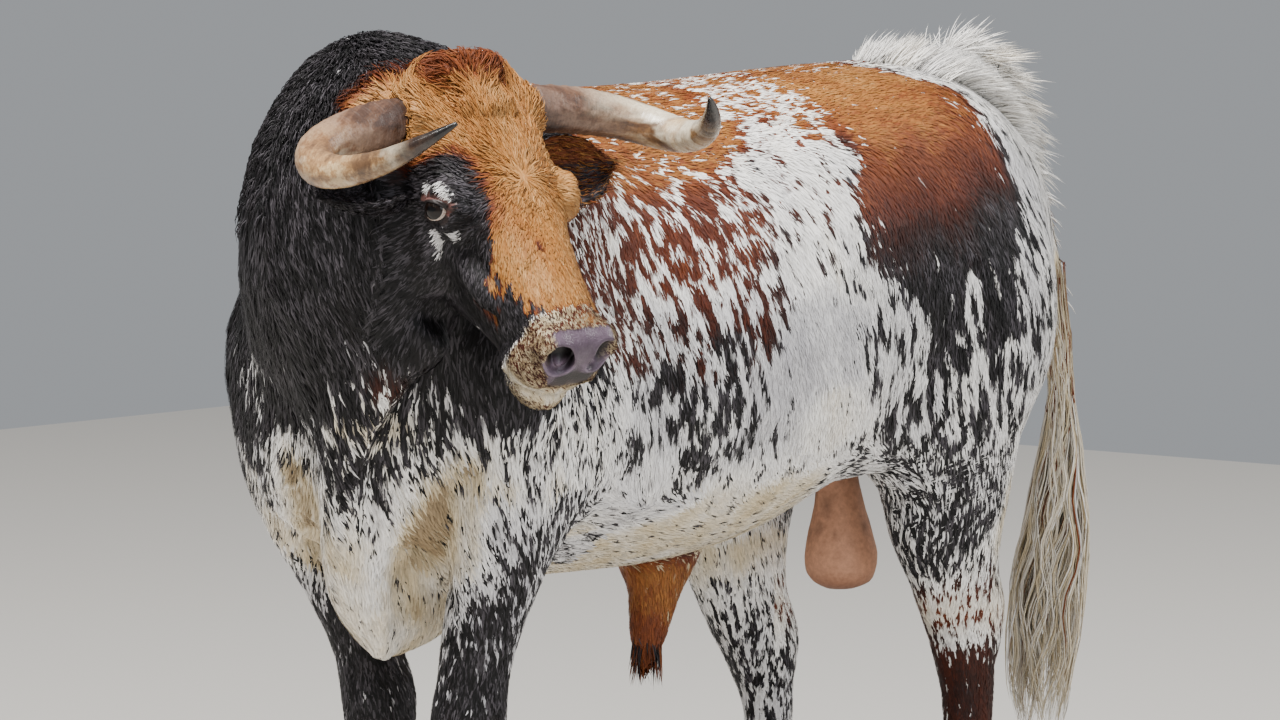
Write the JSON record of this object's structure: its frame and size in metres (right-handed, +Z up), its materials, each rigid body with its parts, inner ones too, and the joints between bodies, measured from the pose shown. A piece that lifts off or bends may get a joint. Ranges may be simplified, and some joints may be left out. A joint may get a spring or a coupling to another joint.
{
  "type": "domestic bull",
  "caption": "Standing horned bull, life size, head turned to its left, speckled tan, white and black coat, long tail.",
  "frame": {"origin": "on the floor under the middle of the bull's bounding box", "axes": "+Z up; the body lies along Y with its chest to -Y and its tail to +Y; its left side is +X"},
  "size_m": [1.0122, 2.2236, 1.5058],
  "materials": {
    "head": "short black hair with a tan forehead",
    "neck": "black wavy hair with grey glints",
    "torso": "short speckled hair, tan above and white below",
    "legs": "short white hair with black flecks",
    "ears": "brown hair",
    "eyes": "wet and dark",
    "horns": "ivory horn with dark tips",
    "hooves": "dark horn",
    "bare_skin": "thin, nearly bare skin",
    "sheath": "thin short hair",
    "tail_hair": "long cream and grey hair"
  },
  "bodies": {
    "root": {"head": "head", "neck": "neck", "torso": "torso", "ear_left": "ears", "ear_right": "ears", "eye_left": "eyes", "eye_right": "eyes", "horn_left": "horns", "horn_right": "horns", "foreleg_left": "legs", "foreleg_right": "legs", "hindleg_left": "legs", "hindleg_right": "legs", "hoof_foreleg_left_outer": "hooves", "hoof_foreleg_left_inner": "hooves", "hoof_foreleg_right_outer": "hooves", "hoof_foreleg_right_inner": "hooves", "hoof_hindleg_left_outer": "hooves", "hoof_hindleg_left_inner": "hooves", "hoof_hindleg_right_outer": "hooves", "hoof_hindleg_right_inner": "hooves", "scrotum": "bare_skin", "sheath": "sheath", "tail": "tail_hair", "tail_switch": "tail_hair"}
  },
  "joints": []
}
